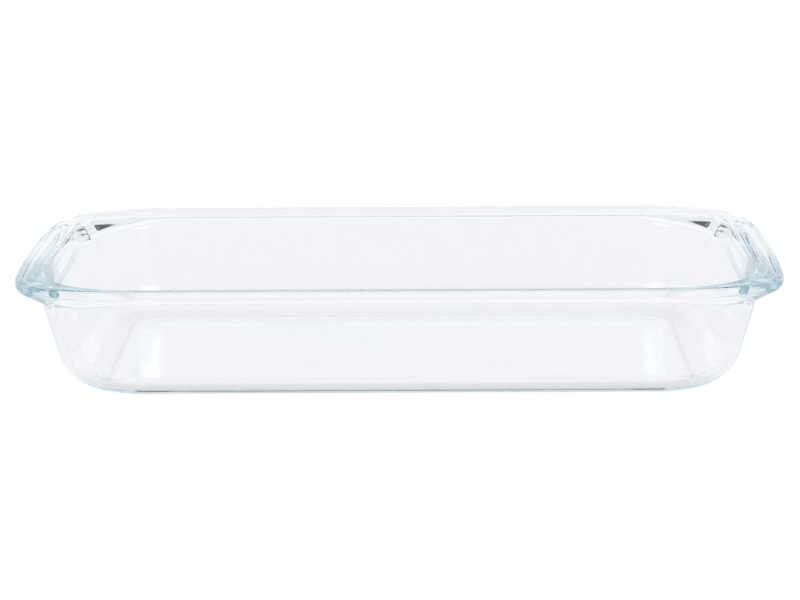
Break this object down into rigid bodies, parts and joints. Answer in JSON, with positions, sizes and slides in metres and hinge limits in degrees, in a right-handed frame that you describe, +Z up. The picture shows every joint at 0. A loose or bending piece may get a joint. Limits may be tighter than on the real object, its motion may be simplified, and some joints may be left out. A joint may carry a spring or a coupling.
{
  "type": "glass casserole dish",
  "caption": "Rectangular oven dish of clear pressed glass with leaning walls, round corners, a narrow rim and a stepped grip at each end.",
  "frame": {"origin": "on the table, under the middle of the dish", "axes": "+X along the dish from the left grip to the right grip, +Y across it to the back, +Z up"},
  "size_m": [0.4, 0.256, 0.0595],
  "materials": {
    "clear_glass": "fire-polished, clear, with a faint blue-green tint in its thickness"
  },
  "bodies": {
    "root": {"floor_panel": "clear_glass", "basin_wall": "clear_glass", "front_rim": "clear_glass", "back_rim": "clear_glass", "left_grip": "clear_glass", "right_grip": "clear_glass"}
  },
  "joints": []
}
